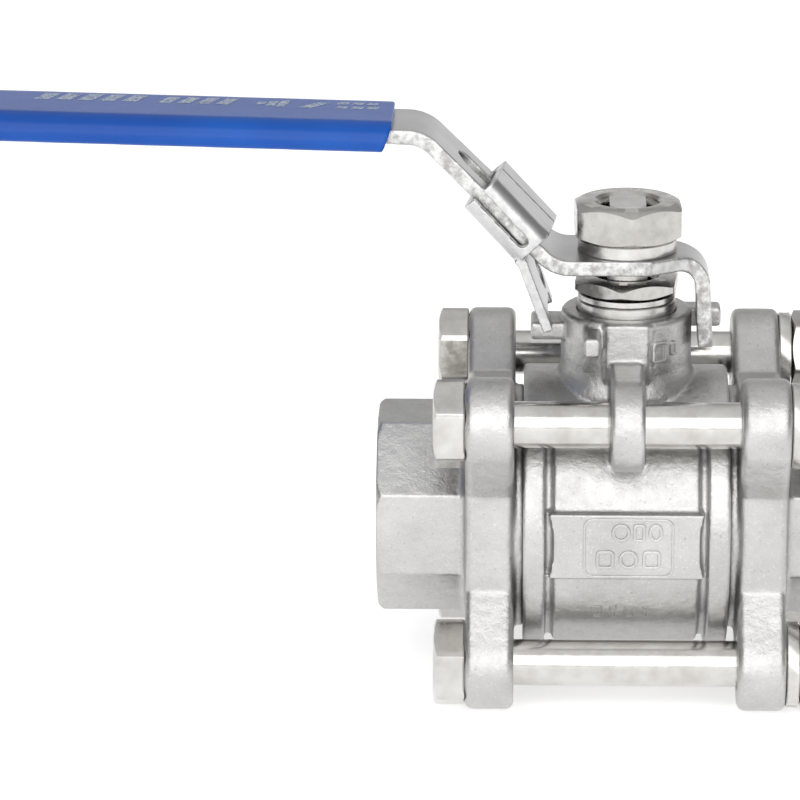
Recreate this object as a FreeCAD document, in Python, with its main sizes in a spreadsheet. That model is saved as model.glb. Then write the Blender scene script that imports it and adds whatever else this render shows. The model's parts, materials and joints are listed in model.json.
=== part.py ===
import FreeCAD, Part
import math
import os

from FreeCAD import Placement, Rotation, Vector

doc = FreeCAD.newDocument("ball_valve")

# ---------------------------------------------------------------- driving dimensions (mm)
# All heights are above the pipe axis and all lengths along the pipe are from the ball centre.
DIMENSIONS = [
    ("half_length", 40.0, "ball centre to the face of either port"),
    ("neck_flats", 32.0, "octagonal neck, across flats"),
    ("neck_chamfer", 0.9, "chamfer on the outer edge of the neck"),
    ("port_radius", 13.22, "major radius of the 3/4 inch pipe thread"),
    ("port_depth", 15.5, "usable thread depth"),
    ("relief_radius", 13.6, "thread relief at the bottom of the port"),
    ("relief_depth", 1.8, "length of that relief"),
    ("bore_radius", 10.0, "full bore of the valve"),
    ("seat_outer", 15.0, "outside radius of the seats"),
    ("seat_back", 14.5, "back of a seat, on the end cap"),
    ("seat_land", 9.4, "where the chamfer of a seat begins"),
    ("seat_front", 8.6, "front of a seat, before it is ground to the ball"),
    ("ear_outer", 25.65, "outer face of the cap ears"),
    ("ear_inner", 17.85, "inner face of the cap ears"),
    ("ear_radius", 7.5, "round end of an ear"),
    ("ear_edge", 1.3, "cast edge radius of the ears"),
    ("bolt_offset", 20.0, "bolt centre from the pipe axis, both ways"),
    ("waist_offset", 20.4, "flat between two ears, from the pipe axis"),
    ("waist_half", 7.85, "half length of that flat"),
    ("disc_radius", 19.7, "joint disc between ears and body"),
    ("spigot_radius", 16.9, "cap spigot inside the body bore"),
    ("spigot_face", 12.0, "inner end of the spigot"),
    ("neck_blend", 1.3, "cast blend from neck to ear plate"),
    ("body_half", 16.45, "end face of the centre body"),
    ("ring_radius", 23.0, "raised end rings of the body"),
    ("ring_inner", 12.95, "inner side of an end ring"),
    ("groove_inner", 11.65, "inner side of the groove beside the ring"),
    ("groove_radius", 20.9, "bottom of that groove"),
    ("barrel_radius", 22.0, "middle barrel of the body"),
    ("saddle_radius", 23.1, "plain top of the barrel, over the end rings"),
    ("saddle_low", 15.5, "where that plain top begins, behind the upper bolts"),
    ("cast_edge", 0.5, "cast edge radius of the body and its lugs"),
    ("cavity_radius", 17.0, "through bore of the body"),
    ("gasket_outer", 18.6, "gasket pocket radius"),
    ("gasket_depth", 1.5, "gasket pocket depth"),
    ("plate_face", 22.5, "flat size plate on the front of the barrel"),
    ("plate_low", -4.9, "lower edge of the size plate"),
    ("plate_high", 5.9, "upper edge of the size plate"),
    ("plate_half", 12.3, "half length of the size plate at its corners"),
    ("plate_waist", 0.7, "how far the ends of the plate are hollowed"),
    ("boss_radius", 10.5, "bonnet boss"),
    ("boss_top", 33.7, "top of the bonnet boss"),
    ("strap_half", 2.65, "half thickness of the strap lug"),
    ("strap_radius", 7.35, "round end of the strap lug"),
    ("strap_edge", 0.8, "cast edge radius of the strap lug"),
    ("pad_face", 10.6, "flat pads on the front and back of the boss"),
    ("pad_half", 3.8, "half width of those pads"),
    ("pad_edge", 1.0, "cast edge radius of the pads"),
    ("pad_low", 24.0, "lower end of those pads, inside the strap lugs"),
    ("bolt_hole", 4.2, "clearance holes for the bolts"),
    ("lug_top", 32.0, "top of the stop lugs"),
    ("lug_height", 2.9, "height of the stop lugs"),
    ("lug_reach", 15.4, "outer end of the stop lugs from the stem axis"),
    ("lock_lug_half", 3.8, "half width of the two lock lugs"),
    ("stop_width", 4.0, "width of the open stop lug"),
    ("stop_play", 0.1, "play between a stop lug and the stop tab"),
    ("ball_radius", 16.0, "ball"),
    ("seat_play", 0.03, "clearance between ball and seats"),
    ("ball_slot", 5.6, "width of the slot in the ball"),
    ("ball_slot_floor", 12.1, "height of the slot floor"),
    ("blade_width", 5.5, "stem blade, across"),
    ("blade_length", 11.0, "stem blade, along"),
    ("blade_foot", 12.3, "height of the blade foot"),
    ("collar_radius", 7.0, "stem collar"),
    ("collar_low", 16.3, "underside of the stem collar"),
    ("collar_high", 18.6, "top of the stem collar"),
    ("thrust_top", 20.0, "top of the thrust washer"),
    ("pocket_radius", 7.1, "pocket for collar and thrust washer"),
    ("stem_radius", 5.0, "stem and its M10 thread"),
    ("stem_hole", 5.06, "hole the stem turns in"),
    ("stem_top", 51.3, "top end of the stem"),
    ("flats_low", 37.6, "where the lower stem flats begin"),
    ("flats_lower_width", 6.4, "stem width below the lever"),
    ("flats_upper_width", 5.8, "stem width through the lever"),
    ("chamber_radius", 8.0, "packing chamber"),
    ("chamber_floor", 24.0, "floor of the packing chamber"),
    ("packing_height", 2.2, "one packing ring"),
    ("gland_radius", 7.9, "gland ring"),
    ("gland_top", 35.42, "top of the gland ring"),
    ("disc_washer_radius", 7.9, "conical spring washers"),
    ("disc_washer_height", 0.62, "overall height of one conical washer"),
    ("disc_washer_sheet", 0.42, "sheet of one conical washer"),
    ("gland_nut_flats", 16.0, "slim gland nut, across flats"),
    ("gland_nut_top", 39.3, "top of the gland nut"),
    ("lever_sheet", 2.4, "lever sheet"),
    ("lever_top", 43.4, "top face of the flat part of the lever"),
    ("lever_width", 17.0, "lever width at the stem and on the incline's foot"),
    ("handle_width", 15.0, "lever width inside the sleeve"),
    ("tab_width", 8.5, "stop tab width"),
    ("tab_foot", 28.15, "lower end of the stop tab"),
    ("tab_centre", 11.88, "stop tab centre plane at the level of the lever"),
    ("tab_lean", 0.055, "outward lean of the stop tab"),
    ("incline_foot", -11.1, "foot of the 45 degree incline on the top face"),
    ("incline_head", 64.45, "height of the head of the incline on the top face"),
    ("grip_rise", 0.026, "rise of the handle beyond the incline"),
    ("lever_end", -129.0, "far end of the lever"),
    ("bend_radius", 6.2, "centre line radius of the two long bends"),
    ("tab_bend", 4.1, "centre line radius of the tab bend"),
    ("lever_slot_width", 6.0, "slot in the incline"),
    ("lever_slot_low", -22.5, "upper end of that slot, along the incline from its foot"),
    ("lever_slot_high", -8.0, "lower end of that slot"),
    ("grip_width", 19.6, "grip sleeve width"),
    ("grip_above", 1.25, "sleeve above the lever"),
    ("grip_below", 1.0, "sleeve below the lever"),
    ("grip_start_low", -38.9, "open end of the sleeve, lower corner"),
    ("grip_start_high", -37.2, "open end of the sleeve, upper corner"),
    ("grip_end", -131.5, "closed end of the sleeve"),
    ("grip_edge", 3.2, "radius of the upper edges of the sleeve"),
    ("grip_edge_low", 1.2, "radius of its lower edges"),
    ("grip_corner", 7.0, "round corners of the closed end"),
    ("lock_sheet", 1.6, "sheet of the sliding lock"),
    ("lock_gap_top", 0.9, "play above the lever"),
    ("lock_gap_side", 0.3, "play beside the lever"),
    ("lock_gap_below", 0.55, "play below the lever"),
    ("lock_tilt", 2.4, "how much steeper than the incline the lock hangs, degrees"),
    ("lock_release", 1.85, "how far the lock stands up the incline from its lowest place"),
    ("lock_near", -2.66, "lower end of the lock on the near side, lowest place"),
    ("lock_length", 12.5, "length of the lock along the incline"),
    ("lock_skew", 2.3, "how much lower the far end stands"),
    ("tongue_width", 20.0, "width of the lock tongue"),
    ("tongue_tip", -11.3, "lower end of the tongue, lowest place, along the pipe"),
    ("tongue_foot", 31.0, "lower end of the tongue, lowest place"),
    ("tongue_slot", 12.2, "gap between the two legs of the tongue"),
    ("tongue_slot_top", 33.1, "top of that gap, lowest place"),
    ("padlock_radius", 2.75, "padlock hole"),
    ("padlock_side", 4.5, "padlock hole from the middle of the tongue"),
    ("padlock_height", 36.6, "height of the padlock hole, lowest place"),
    ("washer_top", 45.55, "top of the split washer on the lever"),
    ("washer_radius", 8.0, "split washer on the lever"),
    ("lever_nut_flats", 16.7, "lever nut, across flats"),
    ("lever_nut_top", 51.5, "top of the lever nut"),
    ("bolt_radius", 3.7, "rolled shank of the M8 bolts"),
    ("bolt_flats", 13.0, "M8 head and nut, across flats"),
    ("bolt_head", 5.0, "head height"),
    ("bolt_washer", 2.0, "split washer height"),
    ("bolt_washer_radius", 6.9, "split washer outside radius"),
    ("bolt_nut", 6.5, "nut height"),
    ("bolt_end", 36.2, "end of the bolts"),
    ("bolt_point", 0.8, "chamfer on the end of the bolts and the stem"),
    ("washer_edge", 0.15, "broken edge of the split washers"),
    ("washer_cut", 0.7, "saw cut through the split washers"),
    ("hex_face", 0.97, "turned face of a head or nut, as a share of its flats"),
]

sheet = doc.addObject("Spreadsheet::Sheet", "Dims")
for row, (alias, value, note) in enumerate(DIMENSIONS, start=1):
    sheet.set("A%d" % row, note)
    sheet.set("B%d" % row, str(value))
    sheet.setAlias("B%d" % row, alias)
doc.recompute()


def dim(alias):
    """The value of one driving dimension."""
    return float(getattr(sheet, alias))


# ---------------------------------------------------------------- building blocks
AXIS_X = Rotation(Vector(0, 1, 0), 90)
AXIS_Z = Rotation()


def bind(obj, prop, expression):
    obj.setExpression(prop, expression)
    return obj


def cylinder(name, radius, height, base, turn=AXIS_Z):
    """Part::Cylinder; radius and height are expressions on the sheet."""
    obj = doc.addObject("Part::Cylinder", name)
    bind(obj, "Radius", radius)
    bind(obj, "Height", height)
    obj.Placement = Placement(Vector(*base), turn)
    return obj


def block(name, low, high):
    """Part::Box between two corners."""
    obj = doc.addObject("Part::Box", name)
    obj.Length = high[0] - low[0]
    obj.Width = high[1] - low[1]
    obj.Height = high[2] - low[2]
    obj.Placement.Base = Vector(*low)
    return obj


def prism(name, sides, flats, height, base, turn):
    """Part::Prism; flats and height are expressions on the sheet."""
    obj = doc.addObject("Part::Prism", name)
    obj.Polygon = sides
    bind(obj, "Circumradius", "(%s) / 2 / cos(%f deg)" % (flats, 180.0 / sides))
    bind(obj, "Height", height)
    obj.Placement = Placement(Vector(*base), turn)
    return obj


def fuse(name, parts):
    obj = doc.addObject("Part::MultiFuse", name)
    obj.Shapes = parts
    obj.Refine = True
    return obj


def cut(name, base, tool):
    obj = doc.addObject("Part::Cut", name)
    obj.Base = base
    obj.Tool = tool
    obj.Refine = True
    return obj


def common(name, parts):
    obj = doc.addObject("Part::MultiCommon", name)
    obj.Shapes = parts
    return obj


def rounded(name, base, radius, pick):
    """Part::Fillet on the edges of base that pick accepts."""
    doc.recompute()
    chosen = [(i, radius, radius) for i, edge in enumerate(base.Shape.Edges, start=1) if pick(edge)]
    obj = doc.addObject("Part::Fillet", name)
    obj.Base = base
    obj.Edges = chosen
    return obj


def new_sketch(body, name, plane):
    sketch = body.newObject("Sketcher::SketchObject", name)
    origin = [f for f in body.Origin.OriginFeatures if f.Role == plane][0]
    sketch.AttachmentSupport = [(origin, "")]
    sketch.MapMode = "FlatFace"
    return sketch


def draw_polygon(sketch, points):
    corners = [Vector(x, y, 0) for x, y in points]
    for start, end in zip(corners, corners[1:] + corners[:1]):
        sketch.addGeometry(Part.LineSegment(start, end))


def lathe(name, points, axis="Z"):
    """Solid of revolution; points are (radius, height) about Z or (length, radius) about X."""
    body = doc.addObject("PartDesign::Body", name)
    sketch = new_sketch(body, name + "_profile", "XZ_Plane")
    draw_polygon(sketch, points)
    turned = body.newObject("PartDesign::Revolution", name + "_turned")
    turned.Profile = sketch
    turned.ReferenceAxis = (sketch, ["V_Axis" if axis == "Z" else "H_Axis"])
    turned.Angle = 360
    sketch.Visibility = False
    body.Tip = turned
    return body


def plate(name, plane, curves, length, midplane=True):
    """Pad of a closed outline; length is an expression on the sheet."""
    body = doc.addObject("PartDesign::Body", name)
    sketch = new_sketch(body, name + "_outline", plane)
    for curve in curves:
        sketch.addGeometry(curve)
    pad = body.newObject("PartDesign::Pad", name + "_pad")
    pad.Profile = sketch
    pad.Midplane = midplane
    bind(pad, "Length", length)
    body.Tip = pad
    return body


def segments(points, closed=True):
    corners = [Vector(x, y, 0) for x, y in points]
    ends = corners[1:] + corners[:1] if closed else corners[1:]
    return [Part.LineSegment(a, b) for a, b in zip(corners, ends)]


def chamfered_hex(name, flats, low, high, both=True):
    """Hexagon along Z whose corners are turned off at one or both ends."""
    raw = prism(name + "_hex", 6, "Dims." + flats, "%f" % (high - low), (0, 0, low), AXIS_Z)
    outer = dim(flats) / math.sqrt(3) + 0.01
    turned = dim(flats) / 2 * dim("hex_face")
    step = (outer - turned) * math.tan(math.radians(30))
    lower = [(0, low), (turned, low), (outer, low + step)] if both else [(0, low), (outer, low)]
    upper = [(outer, high - step), (turned, high), (0, high)]
    return common(name + "_chamfered", [raw, lathe(name + "_turning", lower + upper)])


FINISHED = []


def finish(obj, node):
    """Name a sub-part and set it in the shared frame, whose origin is the inlet port face."""
    obj.Label = node
    base = obj.Placement.Base
    bind(obj, "Placement.Base.x", "Dims.half_length + (%f)" % base.x)
    FINISHED.append(obj)
    return obj


# ---------------------------------------------------------------- end caps
def ear_outline():
    """Square plate with four round ears and a flat waist on every side, in the Y-Z plane."""
    offset, radius = dim("bolt_offset"), dim("ear_radius")
    flat, half = dim("waist_offset"), dim("waist_half")
    reach = math.hypot(flat - offset, offset - half)
    heading = math.atan2(half - offset, flat - offset)
    angle = heading + math.acos(radius / reach)
    touch = (offset + radius * math.cos(angle), offset + radius * math.sin(angle))
    far = offset + radius * math.sqrt(0.5)
    curves = []
    for quarter in range(4):
        turn = Rotation(Vector(0, 0, 1), 90 * quarter)
        spot = [turn.multVec(Vector(x, y, 0)) for x, y in (
            (flat, -half), (flat, half), touch, (far, far), (touch[1], touch[0]), (half, flat))]
        curves.append(Part.LineSegment(spot[0], spot[1]))
        curves.append(Part.LineSegment(spot[1], spot[2]))
        curves.append(Part.Arc(spot[2], spot[3], spot[4]))
        curves.append(Part.LineSegment(spot[4], spot[5]))
    return curves


def end_cap(node, side):
    """One end cap; side is -1 for the inlet and +1 for the outlet."""
    outer, inner, end = side * dim("ear_outer"), side * dim("ear_inner"), side * dim("half_length")
    ears = plate(node + "_ears", "YZ_Plane", ear_outline(), "Dims.ear_outer - Dims.ear_inner")
    ears.Placement.Base = Vector((outer + inner) / 2, 0, 0)
    ears = rounded(node + "_ears_cast", ears, dim("ear_edge"),
                   lambda e: abs(e.BoundBox.XMax - e.BoundBox.XMin) < 1e-4)
    octagon = prism(node + "_octagon", 8, "Dims.neck_flats", "Dims.half_length - Dims.ear_outer + 2",
                    (min(end, outer - side * 2), 0, 0),
                    AXIS_X.multiply(Rotation(Vector(0, 0, 1), 22.5)))
    corner = dim("neck_flats") / 2 / math.cos(math.pi / 8)
    lip = dim("neck_chamfer")
    envelope = lathe(node + "_neck_turning", [
        (side * 20.0, 0), (side * 20.0, corner + 1), (end - side * lip, corner + 0.1),
        (end, corner - lip), (end, 0)], "X")
    neck = common(node + "_neck", [octagon, envelope])
    blank = fuse(node + "_blank", [ears, neck])
    blank = rounded(node + "_blend", blank, dim("neck_blend"), lambda e: (
        abs(e.BoundBox.XMax - outer) < 1e-3 and abs(e.BoundBox.XMin - outer) < 1e-3
        and max(abs(e.CenterOfMass.y), abs(e.CenterOfMass.z)) < dim("neck_flats") / 2 + 0.05))
    joint = lathe(node + "_joint", [
        (inner + side * 1, 0), (inner + side * 1, dim("disc_radius")),
        (side * dim("body_half"), dim("disc_radius")), (side * dim("body_half"), dim("spigot_radius")),
        (side * (dim("spigot_face") + 0.5), dim("spigot_radius")),
        (side * dim("spigot_face"), dim("spigot_radius") - 0.5), (side * dim("spigot_face"), 0)], "X")
    solid = fuse(node + "_solid", [blank, joint])
    thread_end = end - side * dim("port_depth")
    relief_end = thread_end - side * dim("relief_depth")
    passage = lathe(node + "_passage", [
        (side * 5, 0), (side * 5, dim("seat_outer")), (side * dim("seat_back"), dim("seat_outer")),
        (side * dim("seat_back"), dim("bore_radius")),
        (relief_end, dim("bore_radius")), (relief_end, dim("relief_radius")),
        (thread_end, dim("relief_radius")), (thread_end, dim("port_radius")),
        (end + side * 2, dim("port_radius")), (end + side * 2, 0)], "X")
    holes = [cylinder("%s_hole_%d" % (node, i), "Dims.bolt_hole", "20", (min(outer, inner) - 5, y, z), AXIS_X)
             for i, (y, z) in enumerate(BOLT_PLACES.values())]
    return finish(cut(node + "_cap", solid, fuse(node + "_openings", [passage] + holes)), node)


spread = dim("bolt_offset")
BOLT_PLACES = {
    "front_upper": (-spread, spread),
    "front_lower": (-spread, -spread),
    "back_upper": (spread, spread),
    "back_lower": (spread, -spread),
}

end_cap("inlet_cap", -1)
end_cap("outlet_cap", 1)


# ---------------------------------------------------------------- centre body
def size_plate():
    """Flat plate with hollow ends on the front of the barrel, drawn in the X-Z plane."""
    low, high, half, waist = dim("plate_low"), dim("plate_high"), dim("plate_half"), dim("plate_waist")
    middle = (low + high) / 2
    curves = [
        Part.LineSegment(Vector(-half, low, 0), Vector(half, low, 0)),
        Part.Arc(Vector(half, low, 0), Vector(half - waist, middle, 0), Vector(half, high, 0)),
        Part.LineSegment(Vector(half, high, 0), Vector(-half, high, 0)),
        Part.Arc(Vector(-half, high, 0), Vector(waist - half, middle, 0), Vector(-half, low, 0)),
    ]
    pad = plate("size_plate", "XZ_Plane", curves, "4")
    pad.Placement.Base = Vector(0, 2 - dim("plate_face"), 0)
    return pad


def strap(name, side):
    """Lug around the upper bolt on the front (-1) or back (+1) of the body."""
    half, radius, offset = dim("strap_half"), dim("strap_radius"), dim("bolt_offset")
    eye = cylinder(name + "_eye", "Dims.strap_radius", "2 * Dims.strap_half",
                   (-half, side * offset, offset), AXIS_X)
    web_low = (-half, min(side * 6, side * offset), offset - radius)
    web_high = (half, max(side * 6, side * offset), offset + radius)
    lug = fuse(name + "_raw", [eye, block(name + "_web", web_low, web_high)])
    return rounded(name, lug, dim("strap_edge"), lambda e: abs(abs(e.CenterOfMass.x) - half) < 1e-3
                   and abs(e.CenterOfMass.y) > 8)


body_half, ring_radius = dim("body_half"), dim("ring_radius")
barrel = lathe("barrel", [
    (-body_half, 0), (-body_half, ring_radius), (-dim("ring_inner"), ring_radius),
    (-dim("ring_inner"), dim("groove_radius")), (-dim("groove_inner"), dim("groove_radius")),
    (-dim("groove_inner"), dim("barrel_radius")), (dim("groove_inner"), dim("barrel_radius")),
    (dim("groove_inner"), dim("groove_radius")), (dim("ring_inner"), dim("groove_radius")),
    (dim("ring_inner"), ring_radius), (body_half, ring_radius), (body_half, 0)], "X")
barrel = rounded("barrel_cast", barrel, dim("cast_edge"), lambda e: (
    e.BoundBox.YMax > dim("barrel_radius") - 0.1 and abs(e.BoundBox.XMax - e.BoundBox.XMin) < 1e-4))
saddle = common("saddle_raw", [
    cylinder("saddle_round", "Dims.saddle_radius", "2 * Dims.body_half", (-body_half, 0, 0), AXIS_X),
    block("saddle_zone", (-body_half - 1, -30, dim("saddle_low")), (body_half + 1, 30, 30))])
saddle = rounded("saddle", saddle, dim("cast_edge"), lambda e: abs(abs(e.CenterOfMass.x) - body_half) < 1e-3
                 and e.BoundBox.ZMax - e.BoundBox.ZMin > 1)
boss_radius, boss_top, boss_edge = dim("boss_radius"), dim("boss_top"), dim("cast_edge")
# Skirt that spreads into the barrel: how far beyond the boss radius, and at what height.
SKIRT = [(1.3, 15.0), (1.3, 21.4), (0.8, 22.6), (0.3, 23.6), (0.0, 24.8)]
boss = lathe("boss", [(0, SKIRT[0][1])] + [(boss_radius + out, height) for out, height in SKIRT] + [
    (boss_radius, boss_top - boss_edge), (boss_radius - boss_edge, boss_top), (0, boss_top)])


def pad(name, side):
    """Flat pad on the front (-1) or back (+1) of the boss."""
    half, face, low, high = dim("pad_half"), dim("pad_face"), dim("pad_low"), boss_top - boss_edge / 2
    raw = block(name + "_raw", (-half, min(0, side * face), low), (half, max(0, side * face), high))
    return rounded(name, raw, dim("pad_edge"), lambda e: abs(e.CenterOfMass.y - side * face) < 1e-3
                   and e.BoundBox.ZMax - e.BoundBox.ZMin > 1)


lug_low, lug_high, reach = dim("lug_top") - dim("lug_height"), dim("lug_top"), dim("lug_reach")
lock_half, tab_half = dim("lock_lug_half"), dim("tab_width") / 2
stop_face = tab_half + dim("stop_play")
# Opposite corners of each lug. Their inner ends lie inside the boss, and the closed stop is the narrow one.
LUGS = {
    "lock_lug_open": ((-reach, -lock_half, lug_low), (-8, lock_half, lug_high)),
    "lock_lug_closed": ((-lock_half, 8, lug_low), (lock_half, reach, lug_high)),
    "stop_lug_open": ((6, stop_face, lug_low), (reach, stop_face + dim("stop_width"), lug_high + 0.4)),
    "stop_lug_closed": ((-stop_face - 2.65, 0.3 - reach, lug_low + 0.3), (-stop_face, -6, lug_high + 0.6)),
}
lugs = [rounded(name, block(name + "_raw", *corners), dim("cast_edge"), lambda e: True)
        for name, corners in LUGS.items()]

casting = fuse("casting", [barrel, saddle, size_plate(), boss, pad("front_pad", -1), pad("back_pad", 1),
                           strap("strap_front", -1), strap("strap_back", 1)] + lugs)
cavity = lathe("cavity", [
    (-20, 0), (-20, dim("gasket_outer")), (-body_half + dim("gasket_depth"), dim("gasket_outer")),
    (-body_half + dim("gasket_depth"), dim("cavity_radius")),
    (body_half - dim("gasket_depth"), dim("cavity_radius")),
    (body_half - dim("gasket_depth"), dim("gasket_outer")), (20, dim("gasket_outer")), (20, 0)], "X")
stem_way = lathe("stem_way", [
    (0, 5), (dim("pocket_radius"), 5), (dim("pocket_radius"), dim("thrust_top")),
    (dim("stem_hole"), dim("thrust_top")), (dim("stem_hole"), dim("chamber_floor")),
    (dim("chamber_radius"), dim("chamber_floor")), (dim("chamber_radius"), 40), (0, 40)])
strap_bores = [cylinder("strap_bore_%s" % n, "Dims.bolt_hole", "20", (-10, y, z), AXIS_X)
               for n, (y, z) in BOLT_PLACES.items() if "upper" in n]
finish(cut("body_cut", casting, fuse("body_openings", [cavity, stem_way] + strap_bores)), "body_housing")

# ---------------------------------------------------------------- ball, seats and gaskets
sphere = doc.addObject("Part::Sphere", "ball_sphere")
bind(sphere, "Radius", "Dims.ball_radius")
ball_bore = cylinder("ball_bore", "Dims.bore_radius", "40", (-20, 0, 0), AXIS_X)
blade_room = dim("ball_slot") / 2
ball_slot = block("ball_slot", (-blade_room, -20, dim("ball_slot_floor")), (blade_room, 20, 20))
finish(cut("ball_cut", sphere, fuse("ball_openings", [ball_bore, ball_slot])), "ball")


def seat(node, side):
    """PTFE seat; its inner face is ground to the ball."""
    inner, outer = dim("bore_radius") + 0.15, dim("seat_outer")
    ring = lathe(node + "_ring", [
        (side * dim("seat_back"), inner), (side * dim("seat_back"), outer), (side * dim("seat_land"), outer),
        (side * dim("seat_front"), outer - 1.0), (side * dim("seat_front"), inner)], "X")
    ground = doc.addObject("Part::Sphere", node + "_ground")
    bind(ground, "Radius", "Dims.ball_radius + Dims.seat_play")
    return finish(cut(node + "_seat", ring, ground), node)


def gasket(node, side):
    near, far = side * dim("body_half"), side * (dim("body_half") - dim("gasket_depth"))
    ring = lathe(node + "_ring", [
        (near, dim("cavity_radius")), (near, dim("gasket_outer")),
        (far, dim("gasket_outer")), (far, dim("cavity_radius"))], "X")
    return finish(ring, node)


seat("inlet_seat", -1)
seat("outlet_seat", 1)
gasket("inlet_gasket", -1)
gasket("outlet_gasket", 1)

# ---------------------------------------------------------------- stem and its packing
stem_radius, point = dim("stem_radius"), dim("bolt_point")
spindle = lathe("stem_turned", [
    (0, dim("blade_foot")), (dim("blade_length") / 2, dim("blade_foot")),
    (dim("blade_length") / 2, dim("collar_low")), (dim("collar_radius"), dim("collar_low")),
    (dim("collar_radius"), dim("collar_high")), (stem_radius, dim("collar_high")),
    (stem_radius, dim("stem_top") - point), (stem_radius - point, dim("stem_top")), (0, dim("stem_top"))])
lever_bottom = dim("lever_top") - dim("lever_sheet")


def pair_of_flats(name, width, low, high):
    """Two blocks that leave a given width of the stem standing."""
    sides = [block("%s_%d" % (name, i), (min(a, b), -20, low), (max(a, b), 20, high))
             for i, (a, b) in enumerate(((-20, -width / 2), (width / 2, 20)))]
    return sides


flats = (pair_of_flats("blade_flats", dim("blade_width"), dim("blade_foot") - 1, dim("collar_low"))
         + pair_of_flats("lower_flats", dim("flats_lower_width"), dim("flats_low"), lever_bottom)
         + pair_of_flats("upper_flats", dim("flats_upper_width"), lever_bottom, dim("stem_top") + 1))
finish(cut("stem_cut", spindle, fuse("stem_flats", flats)), "stem")


def ring(node, inner, outer, low, high):
    return finish(lathe(node + "_ring", [(inner, low), (outer, low), (outer, high), (inner, high)]), node)


ring("thrust_washer", dim("stem_hole"), dim("collar_radius"), dim("collar_high"), dim("thrust_top"))
floor, step = dim("chamber_floor"), dim("packing_height")
for level, node in enumerate(("packing_lower", "packing_middle", "packing_upper")):
    low, lift = floor + level * step, 0.5
    inner, outer = dim("stem_hole"), dim("chamber_radius")
    middle = (inner + outer) / 2
    crown = 0 if level == 2 else lift
    dip = 0 if level == 0 else lift
    finish(lathe(node + "_ring", [
        (inner, low), (middle, low + dip), (outer, low),
        (outer, low + step), (middle, low + step + crown), (inner, low + step)]), node)
gland_low = floor + 3 * step
gland_edge, gland_inner = 0.25, dim("stem_hole")
gland_outer, gland_high = dim("gland_radius"), dim("gland_top")
finish(lathe("gland_turned", [
    (gland_inner, gland_low), (gland_outer, gland_low), (gland_outer, gland_high - gland_edge),
    (gland_outer - gland_edge, gland_high), (gland_inner, gland_high)]), "gland_ring")


def spring_disc(node, low, inner_up):
    """Conical spring washer standing on its outer edge, or on its inner edge when turned over."""
    inner, outer = dim("stem_hole") + 0.1, dim("disc_washer_radius")
    cone = dim("disc_washer_height") - dim("disc_washer_sheet")
    rise_in, rise_out = (cone, 0) if inner_up else (0, cone)
    sheet_height = dim("disc_washer_sheet")
    return finish(lathe(node + "_disc", [
        (inner, low + rise_in), (outer, low + rise_out), (outer, low + rise_out + sheet_height),
        (inner, low + rise_in + sheet_height)]), node)


first, disc_height = dim("gland_top"), dim("disc_washer_height")
spring_disc("spring_disc_lower", first, False)
spring_disc("spring_disc_upper", first + disc_height, True)


def nut(node, flats, low, high, bore, turn):
    """Hexagon nut on the stem axis, turned by a few degrees."""
    hexagon = chamfered_hex(node, flats, low, high)
    hole = cylinder(node + "_bore", bore, "30", (0, 0, low - 5))
    solid = cut(node + "_nut", hexagon, hole)
    solid.Placement.Rotation = Rotation(Vector(0, 0, 1), turn)
    return finish(solid, node)


nut("gland_nut", "gland_nut_flats", first + 2 * disc_height, dim("gland_nut_top"), "Dims.stem_radius", 23.5)
nut("lever_nut", "lever_nut_flats", dim("washer_top"), dim("lever_nut_top"), "Dims.stem_radius", 33.5)


def split_washer(node, inner, outer, height, base, turn, spin):
    """Split ring along its own Z axis, opened by a slanted saw cut."""
    edge, half_cut, slant = dim("washer_edge"), dim("washer_cut") / 2, 25
    rim = lathe(node + "_rim", [
        (inner, edge), (inner + edge, 0), (outer - edge, 0), (outer, edge), (outer, height - edge),
        (outer - edge, height), (inner + edge, height), (inner, height - edge)])
    gap = block(node + "_gap", (-half_cut, 0, -6), (half_cut, 20, 6))
    tilt = Placement(Vector(0, 0, height / 2), Rotation(Vector(0, 1, 0), slant))
    gap.Placement = tilt.multiply(gap.Placement)
    solid = cut(node + "_split", rim, gap)
    solid.Placement = Placement(Vector(*base), turn.multiply(Rotation(Vector(0, 0, 1), spin)))
    return finish(solid, node)


split_washer("lever_washer", stem_radius + 0.1, dim("washer_radius"), dim("washer_top") - dim("lever_top"),
             (0, 0, dim("lever_top")), AXIS_Z, 150)


# ---------------------------------------------------------------- lever and grip
def bent_strip(path, radii, thickness):
    """Outline of a sheet of constant thickness that follows a path with rounded corners."""
    sides = ([], [])
    previous = [None, None]
    points = [Vector(x, y, 0) for x, y in path]
    half = thickness / 2
    start_dir = (points[1] - points[0]).normalize()
    for k, sign in enumerate((1, -1)):
        previous[k] = points[0] + Vector(-start_dir.y, start_dir.x, 0) * half * sign
    first_pair = list(previous)
    for before, corner, after, radius in zip(points, points[1:], points[2:], radii):
        into, out = (corner - before).normalize(), (after - corner).normalize()
        swing = into.x * out.y - into.y * out.x
        angle = math.atan2(swing, into.dot(out))
        setback = radius * math.tan(abs(angle) / 2)
        tangent_in, tangent_out = corner - into * setback, corner + out * setback
        left = Vector(-into.y, into.x, 0) * (1 if angle > 0 else -1)
        centre = tangent_in + left * radius
        bisector = (corner - centre).normalize()
        for k, sign in enumerate((1, -1)):
            size = radius - half * sign * (1 if angle > 0 else -1)
            a = centre + (tangent_in - centre).normalize() * size
            b = centre + (tangent_out - centre).normalize() * size
            sides[k].append(Part.LineSegment(previous[k], a))
            sides[k].append(Part.Arc(a, centre + bisector * size, b))
            previous[k] = b
    end_dir = (points[-1] - points[-2]).normalize()
    last_pair = []
    for k, sign in enumerate((1, -1)):
        last = points[-1] + Vector(-end_dir.y, end_dir.x, 0) * half * sign
        sides[k].append(Part.LineSegment(previous[k], last))
        last_pair.append(last)
    ends = [Part.LineSegment(first_pair[0], first_pair[1]), Part.LineSegment(last_pair[0], last_pair[1])]
    return sides[0] + sides[1] + ends


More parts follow.
